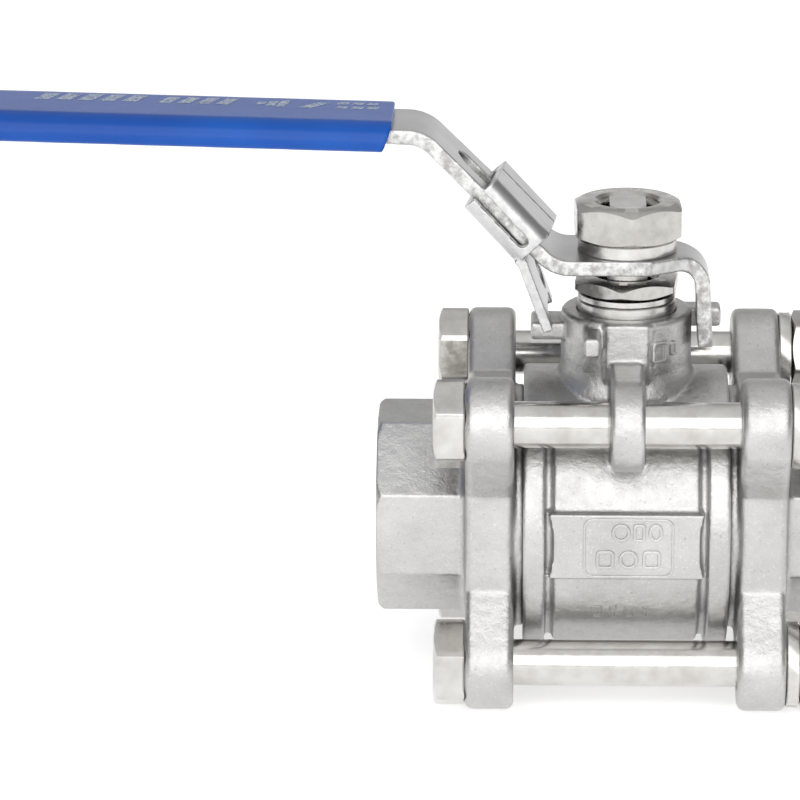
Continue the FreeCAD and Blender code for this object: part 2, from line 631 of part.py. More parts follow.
sheet_half = dim("lever_sheet") / 2
level = dim("lever_top") - sheet_half
foot_sum = dim("incline_foot") + dim("lever_top") - sheet_half * math.sqrt(2)
rise = dim("grip_rise")
head_height = dim("incline_head") - sheet_half
head_x = foot_sum - head_height
tab_drop = level - dim("tab_foot")
LEVER_PATH = [
    (dim("tab_centre") + tab_drop * dim("tab_lean"), dim("tab_foot")),
    (dim("tab_centre"), level),
    (foot_sum - level, level),
    (head_x, head_height),
    (dim("lever_end"), head_height + rise * (head_x - dim("lever_end"))),
]
strip = plate("lever_strip", "XZ_Plane",
              bent_strip(LEVER_PATH, [dim("tab_bend"), dim("bend_radius"), dim("bend_radius")],
                         dim("lever_sheet")), "Dims.lever_width")
half_width, handle_half = dim("lever_width") / 2, dim("handle_width") / 2
# Along X: where the eye's full width ends, where the waist ends and where the tab starts.
EYE_END, WAIST_END, TAB_START = 3.6, 9.4, 10.4
# Half plan of the lever from its far end to the tab: length along X and half width.
LEVER_PLAN = [
    (dim("lever_end") - 5, handle_half), (head_x, handle_half), (dim("incline_foot") - 6, half_width),
    (EYE_END, half_width), (WAIST_END, tab_half + 0.4), (TAB_START, tab_half), (20, tab_half)]
plan = plate("lever_plan", "XY_Plane", segments(
    [(x, -y) for x, y in LEVER_PLAN] + [(x, y) for x, y in reversed(LEVER_PLAN)]), "100")
plan.Placement.Base = Vector(0, 0, 50)
trimmed = common("lever_trimmed", [strip, plan])
stem_eye = common("lever_eye", [
    cylinder("lever_eye_round", "Dims.stem_radius + 0.05", "10", (0, 0, level - 5)),
    block("lever_eye_flats", (-dim("flats_upper_width") / 2 - 0.05, -9, level - 5),
          (dim("flats_upper_width") / 2 + 0.05, 9, level + 5))])
INCLINE = Placement(Vector(dim("incline_foot"), 0, dim("lever_top")), Rotation(Vector(0, 1, 0), 45))
slot_half = dim("lever_slot_width") / 2
slot_low, slot_high = dim("lever_slot_low"), dim("lever_slot_high")
slot_curves = segments(
    [(slot_high - slot_half, -slot_half), (slot_low + slot_half, -slot_half)], closed=False)
slot_curves += [Part.Arc(Vector(slot_low + slot_half, -slot_half, 0), Vector(slot_low, 0, 0),
                         Vector(slot_low + slot_half, slot_half, 0))]
slot_curves += segments([(slot_low + slot_half, slot_half), (slot_high - slot_half, slot_half)], closed=False)
slot_curves += [Part.Arc(Vector(slot_high - slot_half, slot_half, 0), Vector(slot_high, 0, 0),
                         Vector(slot_high - slot_half, -slot_half, 0))]
lever_slot = plate("lever_slot", "XY_Plane", slot_curves, "12")
lever_slot.Placement = INCLINE
finish(cut("lever_cut", trimmed, fuse("lever_openings", [stem_eye, lever_slot])), "lever")


def grip_level(x, above):
    """Height of the sleeve faces, which run parallel to the handle."""
    return head_height + rise * (head_x - x) + above


top, bottom = sheet_half + dim("grip_above"), -sheet_half - dim("grip_below")
grip = plate("grip_block", "XZ_Plane", segments([
    (dim("grip_start_low"), grip_level(dim("grip_start_low"), bottom)),
    (dim("grip_start_high"), grip_level(dim("grip_start_high"), top)),
    (dim("grip_end"), grip_level(dim("grip_end"), top)),
    (dim("grip_end"), grip_level(dim("grip_end"), bottom))]), "Dims.grip_width")
grip = rounded("grip_corners", grip, dim("grip_corner"), lambda e: (
    abs(e.CenterOfMass.x - dim("grip_end")) < 1e-3
    and abs(abs(e.CenterOfMass.y) - dim("grip_width") / 2) < 1e-3))


def along_sleeve(edge, side):
    """Is this an edge along the upper (+1) or the lower (-1) side of the sleeve?"""
    centre = edge.CenterOfMass
    above = centre.z - grip_level(centre.x, (top + bottom) / 2)
    return (side * above > 1 and centre.x < dim("grip_start_low") - 2
            and edge.BoundBox.XMax - edge.BoundBox.XMin > 1e-3)


grip = rounded("grip_soft", grip, dim("grip_edge"), lambda e: along_sleeve(e, 1))
grip = rounded("grip_soft_low", grip, dim("grip_edge_low"), lambda e: along_sleeve(e, -1))
grip_core = common("grip_core", [trimmed, block("grip_zone", (dim("grip_end"), -20, 50), (-30, 20, 80))])
finish(cut("grip_cut", grip, grip_core), "grip_sleeve")

# ---------------------------------------------------------------- sliding lock
# Drawn in the frame of the incline: x points down the slope, y across it and z out of it.
lock_sheet, gap_top, gap_side = dim("lock_sheet"), dim("lock_gap_top"), dim("lock_gap_side")
near_low = dim("lock_near") - dim("lock_release")
far_low = near_low + dim("lock_skew")
length = dim("lock_length")
inner_half = half_width + gap_side
outer_half = inner_half + lock_sheet
inner_face = -dim("lever_sheet") - dim("lock_gap_below")
base_face, roof = inner_face - lock_sheet, gap_top + lock_sheet
FOLD_RADIUS, TONGUE_BEND = 2.3, 2.0
wrap = plate("lock_wrap", "XY_Plane", segments([
    (near_low - length, -outer_half), (near_low, -outer_half),
    (far_low, outer_half), (far_low - length, outer_half)]), "%f" % (roof - base_face))
wrap.Placement.Base = Vector(0, 0, (roof + base_face) / 2)
wrap = rounded("lock_folds", wrap, FOLD_RADIUS, lambda e: abs(abs(e.CenterOfMass.y) - outer_half) < 1e-3
               and (e.BoundBox.XMax - e.BoundBox.XMin) > 5)
window = block("lock_window", (-40, -inner_half, inner_face), (20, inner_half, gap_top))
SEAM_HALF, SEAM_TURN = 0.3, 6
seam = block("lock_seam", (-20, -SEAM_HALF, 0), (10, SEAM_HALF, 5))
seam.Placement = Placement(Vector(near_low - 20, -SEAM_HALF, 0), Rotation(Vector(0, 0, 1), SEAM_TURN))
SLOT_HALF, SLOT_LEVEL, SLOT_BACK = 0.95, -1.2, 2.2
slot_end = near_low - SLOT_BACK
side_slot = fuse("lock_side_slot", [
    block("lock_side_gap", (slot_end - 30, -outer_half - 1, SLOT_LEVEL - SLOT_HALF),
          (slot_end, -half_width, SLOT_LEVEL + SLOT_HALF)),
    cylinder("lock_side_end", "%f" % SLOT_HALF, "4", (slot_end, -half_width, SLOT_LEVEL),
             Rotation(Vector(1, 0, 0), 90))])
shell = cut("lock_shell", wrap, fuse("lock_openings", [window, seam, side_slot]))
middle_of_lock = Vector((near_low + far_low - length) / 2, 0, -dim("lever_sheet") / 2)
LOCK = INCLINE.multiply(Placement(middle_of_lock, Rotation(Vector(0, 1, 0), dim("lock_tilt")))).multiply(
    Placement(-middle_of_lock, Rotation()))
shell.Placement = LOCK

raised = dim("lock_release") * math.sqrt(0.5)
tongue_level = base_face + lock_sheet / 2
tongue_top = LOCK.multVec(Vector(near_low - 0.5, 0, tongue_level))
tongue_bend = LOCK.multVec(Vector(near_low + 0.6, 0, tongue_level))
tongue_tip = Vector(dim("tongue_tip") - raised, 0, dim("tongue_foot") + raised)
tongue = plate("lock_tongue", "XZ_Plane", bent_strip(
    [(tongue_top.x, tongue_top.z), (tongue_bend.x, tongue_bend.z), (tongue_tip.x, tongue_tip.z)],
    [TONGUE_BEND], lock_sheet), "Dims.tongue_width")
fork = block("lock_fork", (-40, -dim("tongue_slot") / 2, 20), (0, dim("tongue_slot") / 2,
                                                             dim("tongue_slot_top") + raised))
lean = math.atan2(tongue_tip.x - tongue_bend.x, tongue_bend.z - tongue_tip.z)
padlock_drop = tongue_bend.z - dim("padlock_height") - raised
padlock = cylinder("lock_padlock", "Dims.padlock_radius", "10", (0, 0, -5))
padlock.Placement = Placement(
    Vector(tongue_bend.x + padlock_drop * math.tan(lean), dim("padlock_side"), tongue_bend.z - padlock_drop),
    Rotation(Vector(0, 1, 0), 90 - math.degrees(lean))).multiply(padlock.Placement)
lever_room = block("lock_lever_room", (-30, -inner_half, inner_face), (20, inner_half, 6))
lever_room.Placement = LOCK
tongue = cut("lock_tongue_cut", tongue, fuse("lock_tongue_openings", [fork, padlock, lever_room]))
finish(fuse("lock_body", [shell, tongue]), "lock_slide")

# ---------------------------------------------------------------- body bolts
# How far each head and each nut happens to be turned, in degrees.
SPINS = {"front_upper": (0, 7), "front_lower": (3, 53), "back_upper": (-8, 36), "back_lower": (14, 26)}
ear_face = dim("ear_outer")
nut_face = ear_face + dim("bolt_washer")
for place, (y, z) in BOLT_PLACES.items():
    head_spin, nut_spin = SPINS[place]
    head = chamfered_hex("head_" + place, "bolt_flats", ear_face, ear_face + dim("bolt_head"), both=False)
    head.Placement = Placement(Vector(0, 0, 0), Rotation(Vector(0, 1, 0), -90).multiply(
        Rotation(Vector(0, 0, 1), head_spin)))
    radius, end = dim("bolt_radius"), dim("bolt_end")
    shank = lathe("shank_" + place, [
        (-ear_face - 0.5, 0), (-ear_face - 0.5, radius), (end - point, radius),
        (end, radius - point), (end, 0)], "X")
    bolt = fuse("bolt_solid_" + place, [head, shank])
    bolt.Placement.Base = Vector(0, y, z)
    finish(bolt, "bolt_" + place)
    split_washer("bolt_washer_" + place, dim("bolt_radius") + 0.2, dim("bolt_washer_radius"),
                 dim("bolt_washer"), (ear_face, y, z), AXIS_X, 40 + nut_spin)
    raw_nut = cut("nut_raw_" + place, chamfered_hex("nut_hex_" + place, "bolt_flats", 0, dim("bolt_nut")),
                  cylinder("nut_bore_" + place, "Dims.bolt_radius", "20", (0, 0, -5)))
    raw_nut.Placement = Placement(Vector(nut_face, y, z),
                                  AXIS_X.multiply(Rotation(Vector(0, 0, 1), nut_spin)))
    finish(raw_nut, "bolt_nut_" + place)

# ---------------------------------------------------------------- recompute, check and write
doc.recompute()
for obj in doc.Objects:
    if "Invalid" in obj.State or "Error" in obj.State:
        raise RuntimeError("%s (%s) did not compute: %s" % (obj.Name, obj.Label, obj.State))
os.makedirs("parts", exist_ok=True)
for part in FINISHED:
    if part.Shape.isNull() or not part.Shape.isValid() or not part.Shape.Solids:
        raise RuntimeError("%s has no valid solid" % part.Label)
    print("%-22s %9.1f mm3 solids %d" % (part.Label, part.Shape.Volume, len(part.Shape.Solids)))
    part.Shape.exportStep("parts/%s.step" % part.Label)
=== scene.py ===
import json
import math

import bpy
from mathutils import Matrix, Vector
from mathutils.bvhtree import BVHTree


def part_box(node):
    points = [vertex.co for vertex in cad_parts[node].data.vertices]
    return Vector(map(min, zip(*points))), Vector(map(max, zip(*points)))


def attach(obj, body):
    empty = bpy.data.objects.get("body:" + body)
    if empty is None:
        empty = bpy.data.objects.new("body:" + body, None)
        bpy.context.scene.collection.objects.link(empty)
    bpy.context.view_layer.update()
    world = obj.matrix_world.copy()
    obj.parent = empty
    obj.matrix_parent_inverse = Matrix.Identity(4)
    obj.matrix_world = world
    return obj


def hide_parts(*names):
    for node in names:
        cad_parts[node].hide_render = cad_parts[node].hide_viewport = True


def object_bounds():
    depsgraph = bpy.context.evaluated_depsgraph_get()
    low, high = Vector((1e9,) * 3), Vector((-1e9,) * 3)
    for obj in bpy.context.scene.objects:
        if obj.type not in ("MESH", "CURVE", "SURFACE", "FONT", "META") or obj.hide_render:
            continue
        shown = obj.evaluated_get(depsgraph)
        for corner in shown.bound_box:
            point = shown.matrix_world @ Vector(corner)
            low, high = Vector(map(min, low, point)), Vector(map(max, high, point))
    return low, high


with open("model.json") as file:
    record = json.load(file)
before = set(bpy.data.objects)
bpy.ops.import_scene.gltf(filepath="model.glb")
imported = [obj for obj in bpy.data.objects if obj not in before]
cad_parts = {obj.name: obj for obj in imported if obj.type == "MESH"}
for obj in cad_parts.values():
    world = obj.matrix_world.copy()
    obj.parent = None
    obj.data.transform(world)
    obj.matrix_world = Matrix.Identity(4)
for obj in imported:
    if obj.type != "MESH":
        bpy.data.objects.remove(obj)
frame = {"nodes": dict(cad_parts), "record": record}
cad_low, cad_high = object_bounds()

MM = 0.001
NODES = frame["nodes"]
BODY_OF = {node: body for body, members in frame["record"]["behaviour"]["bodies"].items() for node in members}
SLOT_OF = {part["node"]: part["material_slot"] for part in frame["record"]["subparts"]}


def middle(node):
    low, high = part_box(node)
    return (low + high) / 2


BALL = middle("ball")

# ---------------------------------------------------------------- camera, floor and studio light
CAMERA_AIM = BALL + Vector((-36.55, 0, 17.85)) * MM
CAMERA_DISTANCE = 0.6957
CAMERA_AZIMUTH, CAMERA_ELEVATION, CAMERA_ROLL = 1.8214, 17.2277, -0.2010
CAMERA_LENS = 192.69
# How much of the sky is left at the sides, and how much the floor shines by itself.
SIDE_SHADE, FLOOR_GLOW = 0.40, 0.53
# Sky brightness against height: 0 is straight down, 0.5 the horizon and 1 straight up.
SKY = ((0.0, 0.9), (0.52, 0.9), (0.68, 0.82), (0.77, 0.46), (0.90, 0.54), (1.0, 0.76))
# The sky dims towards both sides between these two slants, and from the front to the back.
SIDE_ZONE, FRONT_TO_BACK = (0.40, 0.85), (1.25, 0.95)
FLOOR_HALF = 3.0


def look_along(azimuth, elevation):
    """Unit vector from the object towards a viewer; azimuth 0 stands on the -Y side."""
    a, e = math.radians(azimuth), math.radians(elevation)
    return Vector((math.sin(a) * math.cos(e), -math.cos(a) * math.cos(e), math.sin(e)))


def add_camera():
    data = bpy.data.cameras.new("camera")
    data.lens = CAMERA_LENS
    data.clip_start, data.clip_end = 0.01, 20
    camera = bpy.data.objects.new("camera", data)
    back = look_along(CAMERA_AZIMUTH, CAMERA_ELEVATION)
    camera.location = CAMERA_AIM + back * CAMERA_DISTANCE
    turn = (-back).to_track_quat("-Z", "Y").to_matrix().to_4x4()
    camera.rotation_euler = (turn @ Matrix.Rotation(math.radians(CAMERA_ROLL), 4, "Z")).to_euler()
    bpy.context.scene.collection.objects.link(camera)
    bpy.context.scene.camera = camera


def softbox(name, azimuth, elevation, distance, size, power):
    """Rectangular studio lamp that stands in one direction from the ball and faces it."""
    data = bpy.data.lights.new(name, "AREA")
    data.shape = "RECTANGLE"
    data.size, data.size_y = size
    data.energy = power
    lamp = bpy.data.objects.new(name, data)
    back = look_along(azimuth, elevation)
    lamp.location = BALL + back * distance
    lamp.rotation_euler = back.to_track_quat("Z", "Y").to_euler()
    bpy.context.scene.collection.objects.link(lamp)


def add_floor():
    mesh = bpy.data.meshes.new("floor")
    corners = [(x * FLOOR_HALF, y * FLOOR_HALF, cad_low.z) for x, y in ((-1, -1), (1, -1), (1, 1), (-1, 1))]
    mesh.from_pydata(corners, [], [(0, 1, 2, 3)])
    floor = bpy.data.objects.new("floor", mesh)
    bpy.context.scene.collection.objects.link(floor)
    floor.data.materials.append(paper())


def add_world():
    """Soft studio: pale towards the horizon, dark high up behind the object and to its sides."""
    world = bpy.data.worlds.new("studio")
    bpy.context.scene.world = world
    world.use_nodes = True
    tree = world.node_tree
    where = tree.nodes.new("ShaderNodeTexCoord")
    split = tree.nodes.new("ShaderNodeSeparateXYZ")
    tree.links.new(where.outputs["Generated"], split.inputs[0])

    def mapped(value, low, high, to_low, to_high):
        node = tree.nodes.new("ShaderNodeMapRange")
        node.interpolation_type = "SMOOTHSTEP"
        for name, number in (("From Min", low), ("From Max", high), ("To Min", to_low), ("To Max", to_high)):
            node.inputs[name].default_value = number
        tree.links.new(value, node.inputs["Value"])
        return node.outputs[0]

    def maths(operation, *values):
        node = tree.nodes.new("ShaderNodeMath")
        node.operation = operation
        for socket, value in zip(node.inputs, values):
            tree.links.new(value, socket)
        return node.outputs[0]

    height = tree.nodes.new("ShaderNodeValToRGB")
    fill_ramp(height.color_ramp, SKY)
    tree.links.new(mapped(split.outputs["Z"], -1, 1, 0, 1), height.inputs[0])
    height.color_ramp.interpolation = "EASE"
    sides = mapped(maths("ABSOLUTE", split.outputs["X"]), *SIDE_ZONE, 1.0, SIDE_SHADE)
    front = mapped(split.outputs["Y"], -0.6, 0.8, *FRONT_TO_BACK)
    background = tree.nodes["Background"]
    tree.links.new(height.outputs["Color"], background.inputs["Color"])
    tree.links.new(maths("MULTIPLY", sides, front), background.inputs["Strength"])


# ---------------------------------------------------------------- materials
def fill_ramp(ramp, stops):
    """Sets a colour ramp's grey stops: pairs of place and brightness."""
    while len(ramp.elements) < len(stops):
        ramp.elements.new(0.5)
    for element, (place, value) in zip(ramp.elements, stops):
        element.position = place
        element.color = (value, value, value, 1)


class Shader:
    """A material under construction, with short calls for the nodes that the surfaces share."""

    def __init__(self, name, colour, metallic, roughness):
        self.material = bpy.data.materials.new(name)
        self.material.use_nodes = True
        self.material.diffuse_color = (*colour, 1)
        self.tree = self.material.node_tree
        self.surface = self.tree.nodes["Principled BSDF"]
        self.surface.inputs["Base Color"].default_value = (*colour, 1)
        self.surface.inputs["Metallic"].default_value = metallic
        self.surface.inputs["Roughness"].default_value = roughness
        self.where = self.tree.nodes.new("ShaderNodeTexCoord")

    def link(self, start, end):
        self.tree.links.new(start, end)

    def stretched(self, scale):
        """Object coordinates scaled by a different number along each axis."""
        node = self.tree.nodes.new("ShaderNodeMapping")
        node.inputs["Scale"].default_value = scale
        self.link(self.where.outputs["Object"], node.inputs[0])
        return node.outputs[0]

    def noise(self, size, detail=3.0, roughness=0.55, vector=None):
        """Noise whose blotches are about size metres across."""
        node = self.tree.nodes.new("ShaderNodeTexNoise")
        node.inputs["Scale"].default_value = 1 / size if vector is None else 1.0
        node.inputs["Detail"].default_value = detail
        node.inputs["Roughness"].default_value = roughness
        self.link(vector or self.where.outputs["Object"], node.inputs["Vector"])
        return node.outputs["Fac"]

    def between(self, value, low, high):
        """0 below low, 1 above high and a straight line between them."""
        node = self.tree.nodes.new("ShaderNodeMapRange")
        for name, number in (("From Min", low), ("From Max", high)):
            node.inputs[name].default_value = number
        self.link(value, node.inputs["Value"])
        return node.outputs[0]

    def maths(self, operation, *values):
        node = self.tree.nodes.new("ShaderNodeMath")
        node.operation = operation
        for socket, value in zip(node.inputs, values):
            if isinstance(value, (int, float)):
                socket.default_value = value
            else:
                self.link(value, socket)
        return node.outputs[0]

    def facing(self, name):
        """How far the surface faces along one axis of the object, from -1 to 1."""
        node = self.tree.nodes.new("ShaderNodeSeparateXYZ")
        self.link(self.where.outputs["Normal"], node.inputs[0])
        return node.outputs[name]

    def blend(self, factor, dark, light):
        """Colour between dark and light; each is three numbers or a socket."""
        node = self.tree.nodes.new("ShaderNodeMix")
        node.data_type = "RGBA"
        self.link(factor, node.inputs["Factor"])
        for socket, value in ((node.inputs[6], dark), (node.inputs[7], light)):
            if isinstance(value, tuple):
                socket.default_value = (*value, 1)
            else:
                self.link(value, socket)
        return node.outputs[2]

    def mix(self, factor, low, high):
        """Number between low and high; each is a number or a socket."""
        node = self.tree.nodes.new("ShaderNodeMix")
        self.link(factor, node.inputs["Factor"])
        for socket, value in ((node.inputs[2], low), (node.inputs[3], high)):
            if isinstance(value, (int, float)):
                socket.default_value = value
            else:
                self.link(value, socket)
        return node.outputs[0]

    def bump(self, height, depth, strength=1.0, under=None):
        node = self.tree.nodes.new("ShaderNodeBump")
        node.inputs["Distance"].default_value = depth
        if isinstance(strength, (int, float)):
            node.inputs["Strength"].default_value = strength
        else:
            self.link(strength, node.inputs["Strength"])
        self.link(height, node.inputs["Height"])
        if under is not None:
            self.link(under, node.inputs["Normal"])
        return node.outputs[0]

    def finish(self, colour=None, roughness=None, normal=None):
        for socket, name in ((colour, "Base Color"), (roughness, "Roughness"), (normal, "Normal")):
            if socket is not None:
                self.link(socket, self.surface.inputs[name])
        return self.material


def paper():
    s = Shader("studio_paper", (0.85, 0.85, 0.85), 0.0, 0.8)
    s.surface.inputs["Emission Color"].default_value = (1, 1, 1, 1)
    s.surface.inputs["Emission Strength"].default_value = FLOOR_GLOW
    return s.finish(s.blend(s.noise(0.4), (0.84, 0.84, 0.84), (0.86, 0.86, 0.86)))


def cast_steel():
    """Bead-blasted casting: fine dimples over a slightly uneven skin, with dark specks of painted shade in
    small hollows and bright specks of painted highlight.
    """
    s = Shader("cast_steel", (0.53, 0.525, 0.515), 1.0, 0.42)
    grains, skin, patches = s.noise(0.30 * MM, 2), s.noise(1.5 * MM, 4), s.noise(9 * MM, 3)
    pit_shade = s.between(s.noise(0.55 * MM, 3), 0.62, 0.74)
    painted_glints = s.between(s.noise(0.32 * MM, 2), 0.60, 0.72)
    colour = s.blend(s.between(patches, 0.35, 0.65), (0.485, 0.48, 0.47), (0.565, 0.56, 0.55))
    # Painted shade: dark specks where small hollows in the skin would lie in shade.
    colour = s.blend(s.maths("MULTIPLY", pit_shade, 0.6), colour, (0.30, 0.295, 0.28))
    # Painted highlights: bright specks standing for glints of light on the blasted skin.
    colour = s.blend(s.maths("MULTIPLY", painted_glints, 0.35), colour, (0.88, 0.88, 0.86))
    roughness = s.mix(s.between(skin, 0.35, 0.65), 0.34, 0.46)
    rough = s.bump(grains, 0.06 * MM, 0.7)
    return s.finish(colour, roughness, s.bump(skin, 0.20 * MM, 0.7, rough))


def turned_steel():
    """Lathe-turned surfaces: fine rings are too small to see apart, so they only blur the gloss."""
    s = Shader("turned_steel", (0.64, 0.63, 0.61), 1.0, 0.26)
    streaks = s.noise(1, 2, vector=s.stretched((900, 900, 9000)))
    stain = s.noise(3 * MM, 3)
    colour = s.blend(s.between(stain, 0.35, 0.7), (0.66, 0.65, 0.63), (0.54, 0.53, 0.50))
    return s.finish(colour, s.mix(streaks, 0.17, 0.33), s.bump(streaks, 0.01 * MM, 0.5))


def polished_steel():
    """Bright drawn and tumbled steel of heads, shanks and nuts."""
    s = Shader("polished_steel", (0.64, 0.63, 0.61), 1.0, 0.16)
    lines = s.noise(1, 2, vector=s.stretched((250, 5200, 5200)))
    marks = s.noise(1.1 * MM, 4)
    colour = s.blend(s.between(s.noise(4 * MM, 3), 0.35, 0.7), (0.64, 0.63, 0.61), (0.52, 0.505, 0.475))
    roughness = s.mix(s.between(marks, 0.4, 0.7), 0.13, 0.27)
    under = s.bump(lines, 0.006 * MM, 0.4)
    return s.finish(colour, roughness, s.bump(marks, 0.05 * MM, 0.25, under))


def shaded_nut_steel():
    """Duller bright steel of the two nuts on the stem: a little rougher than the bolts' steel, and darker as
    painted shade.
    """
    s = Shader("shaded_nut_steel", (0.50, 0.49, 0.465), 1.0, 0.2)
    marks = s.noise(0.9 * MM, 4)
    # Painted shade: this colour is a darker copy of the bolts' bright steel.
    colour = s.blend(s.between(s.noise(3 * MM, 3), 0.35, 0.7), (0.54, 0.53, 0.505), (0.42, 0.41, 0.38))
    return s.finish(colour, s.mix(s.between(marks, 0.4, 0.7), 0.16, 0.30), s.bump(marks, 0.06 * MM, 0.3))


def sheet_steel(name="sheet_steel", tear=1.0):
    """Stamped sheet: satin faces, and sheared edges that are torn and bright by the share tear."""
    s = Shader(name, (0.60, 0.60, 0.60), 1.0, 0.33)
    side = s.maths("ABSOLUTE", s.facing("Y"))
    edge = s.maths("MULTIPLY", s.between(side, 0.75, 0.95), tear)
    brushed = s.noise(1, 3, vector=s.stretched((500, 2600, 500)))
    torn = s.noise(1, 4, 0.7, s.stretched((900, 900, 420)))
    chips = s.between(s.noise(1.5 * MM, 4, 0.65), 0.38, 0.62)
    face_colour = s.blend(s.between(s.noise(6 * MM, 3), 0.35, 0.65), (0.55, 0.55, 0.555), (0.62, 0.62, 0.62))
    edge_colour = s.blend(chips, (0.40, 0.395, 0.385), (0.72, 0.72, 0.705))
    colour = s.blend(edge, face_colour, edge_colour)
    roughness = s.mix(edge, s.mix(brushed, 0.27, 0.38), s.mix(chips, 0.50, 0.34))
    under = s.bump(brushed, 0.008 * MM, 0.4)
    return s.finish(colour, roughness, s.bump(torn, 0.24 * MM, s.maths("MULTIPLY", edge, 0.9), under))


def ptfe():
    s = Shader("ptfe", (0.88, 0.88, 0.86), 0.0, 0.38)
    s.surface.inputs["Subsurface Weight"].default_value = 0.15
    s.surface.inputs["Subsurface Radius"].default_value = (MM, MM, MM)
    colour = s.blend(s.noise(3 * MM), (0.84, 0.84, 0.82), (0.91, 0.91, 0.89))
    return s.finish(colour, None, s.bump(s.noise(0.5 * MM), 0.01 * MM, 0.4))


def blue_vinyl():
    """Dipped vinyl: glossy, with the slow waves and tiny specks of a dipped skin."""
    s = Shader("blue_vinyl", (0.001, 0.09, 0.42), 0.0, 0.24)
    s.surface.inputs["Specular IOR Level"].default_value = 0.3
    waves, specks = s.noise(5 * MM, 2), s.noise(0.35 * MM, 2)
    colour = s.blend(s.between(s.noise(12 * MM, 2), 0.3, 0.7), (0.0003, 0.060, 0.33), (0.001, 0.078, 0.39))
    under = s.bump(specks, 0.012 * MM, 0.35)
    return s.finish(colour, s.mix(specks, 0.20, 0.30), s.bump(waves, 0.12 * MM, 0.35, under))


def silver_ink():
    s = Shader("silver_ink", (0.50, 0.54, 0.60), 0.2, 0.42)
    worn = s.between(s.noise(0.5 * MM, 4), 0.38, 0.62)
    return s.finish(s.blend(worn, (0.10, 0.17, 0.36), (0.52, 0.57, 0.64)))


MATERIALS = {make.__name__: make() for make in
             (cast_steel, turned_steel, polished_steel, sheet_steel, ptfe, blue_vinyl)}


# ---------------------------------------------------------------- making pieces
def add_piece(name, mesh, node, slot=None, material=None, replaces=()):
    """A finished mesh that rides with the body of a CAD node."""
    piece = bpy.data.objects.new(name, mesh)
    bpy.context.scene.collection.objects.link(piece)
    slot = slot or SLOT_OF[node]
    mesh.materials.clear()
    mesh.materials.append(material or MATERIALS[slot])
    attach(piece, BODY_OF[node])
    if replaces:
        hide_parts(*replaces)
    return piece


TURNED_ANGLE, RING_ANGLE, BEAD_ANGLE = 24, 35, 50


def smooth_shaded(mesh, angle):
    """Smooth shading except across edges sharper than the angle, in degrees."""
    for polygon in mesh.polygons:
        polygon.use_smooth = True
    mesh.set_sharp_from_angle(angle=math.radians(angle))
    return mesh


def cooked(source, modifiers):
    """A copy of a mesh with modifiers applied; each is a type and its settings."""
    work = bpy.data.objects.new("work", source.copy())
    bpy.context.scene.collection.objects.link(work)
    for kind, settings in modifiers:
        modifier = work.modifiers.new(kind.lower(), kind)
        for key, value in settings.items():
            setattr(modifier, key, value)
    graph = bpy.context.evaluated_depsgraph_get()
    mesh = bpy.data.meshes.new_from_object(work.evaluated_get(graph))
    bpy.data.objects.remove(work)
    return mesh


def clouds(name, size):
    texture = bpy.data.textures.new(name, "CLOUDS")
    texture.noise_scale = size
    texture.noise_depth = 2
    return texture


def recast(node, voxel, passes, skin=0.0, keep=1.0, material=None):
    """The CAD node remade as one fine skin whose edges are softened as a mould or a press leaves them."""
    steps = [("WELD", {"merge_threshold": 0.002 * MM}),
             ("REMESH", {"mode": "VOXEL", "voxel_size": voxel * MM}),
             ("SMOOTH", {"factor": 0.5, "iterations": passes})]
    if skin:
        steps.append(("DISPLACE", {"texture": clouds(node + "_skin", 1.4 * MM), "texture_coords": "LOCAL",
                                   "strength": skin * MM, "mid_level": 0.5}))
    if keep < 1:
        steps.append(("DECIMATE", {"ratio": keep}))
    mesh = cooked(NODES[node].data, steps)
    for polygon in mesh.polygons:
        polygon.use_smooth = True
    mesh.name = node + "_skin"
    return add_piece(node + "_skin", mesh, node, material=material, replaces=(node,))


ROWS_PER_TURN, CORNER_SHARPNESS = 8, 36


def hexagon(flats):
    """Radius of a hexagon with slightly rounded corners, as a function of the angle."""
    def radius(angle):
        total = sum(abs(math.cos(angle - (k + 0.5) * math.pi / 3)) ** CORNER_SHARPNESS for k in range(3))
        return flats / 2 / total ** (1 / CORNER_SHARPNESS)
    return radius


def thread(outer, depth, pitch, start, end):
    """Rows of a screw thread between two heights, whose depth fades out at both ends."""
    rows = []
    steps = round((end - start) / pitch * ROWS_PER_TURN)
    for k in range(steps + 1):
        z = start + (end - start) * k / steps
        fade = min(1, (z - start) / pitch * 2, (end - z) / pitch * 2)

        def radius(angle, z=z, fade=fade):
            phase = (z / pitch - angle / math.tau) % 1
            wave = min(1, max(0, abs(2 * phase - 1) * 1.25 - 0.12))
            return outer - depth * wave * fade
        rows.append((z, radius))
    return rows


def turned(name, rows, count, closed=False):
    """Mesh of rows (height, radius) about Z. Either value may be a function of the angle.

    A radius of 0 closes an end; closed joins the last row to the first.
    """
    def at(value, angle):
        return value(angle) if callable(value) else value

    points, rings = [], []
    for height, radius in rows:
        if radius == 0:
            rings.append([len(points)] * count)
            points.append((0, 0, at(height, 0)))
            continue
        ring = []
        for k in range(count):
            angle = math.tau * k / count
            r = at(radius, angle)
            ring.append(len(points))
            points.append((r * math.cos(angle), r * math.sin(angle), at(height, angle)))
        rings.append(ring)
    pairs = list(zip(rings, rings[1:])) + ([(rings[-1], rings[0])] if closed else [])
    faces = []
    for lower, upper in pairs:
        for k in range(count):
            m = (k + 1) % count
            corners = [lower[k], lower[m], upper[m], upper[k]]
            faces.append(list(dict.fromkeys(corners)))
    mesh = bpy.data.meshes.new(name)
    mesh.from_pydata([[c * MM for c in p] for p in points], [], faces)
    mesh.validate()
    return smooth_shaded(mesh, TURNED_ANGLE)


FACE_STEP, EDGE_STEP = 0.15, 0.12


